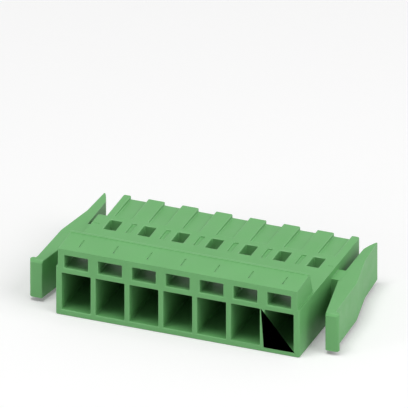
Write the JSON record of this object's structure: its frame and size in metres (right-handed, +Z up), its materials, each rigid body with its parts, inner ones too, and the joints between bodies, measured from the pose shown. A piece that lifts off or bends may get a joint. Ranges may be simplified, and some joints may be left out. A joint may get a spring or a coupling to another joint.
{
  "type": "pluggable terminal block",
  "caption": "Green moulded plug-in terminal block for one row of crimped wires, with a chamber and contact per position and two side latch levers.",
  "frame": {"origin": "middle of the footprint of the whole part, on the plane that its underside rests on", "axes": "+X along the row of positions, +Y out of the mating side, +Z up from the underside; the wires enter from -Y"},
  "size_m": [0.0464, 0.0246, 0.0108],
  "materials": {
    "housing_plastic": "matte moulded polyamide",
    "tinned_metal": "tinned sheet"
  },
  "bodies": {
    "housing_body": {"housing": "housing_plastic", "contact_1": "tinned_metal", "contact_2": "tinned_metal", "contact_3": "tinned_metal", "contact_4": "tinned_metal", "contact_5": "tinned_metal", "contact_6": "tinned_metal", "contact_7": "tinned_metal"},
    "latch_left": {"latch_lever_left": "housing_plastic"},
    "latch_right": {"latch_lever_right": "housing_plastic"}
  },
  "joints": [
    {"name": "latch_left_flex", "type": "hinge", "parent": "housing_body", "child": "latch_left", "pos_m": [-0.01735, 0.00137, 0], "axis": [0, 0, 1], "range_deg": [-2, 5], "stiffness_Nm_per_rad": 0.6},
    {"name": "latch_right_flex", "type": "hinge", "parent": "housing_body", "child": "latch_right", "pos_m": [0.01735, 0.00137, 0], "axis": [0, 0, -1], "range_deg": [-2, 5], "stiffness_Nm_per_rad": 0.6}
  ]
}
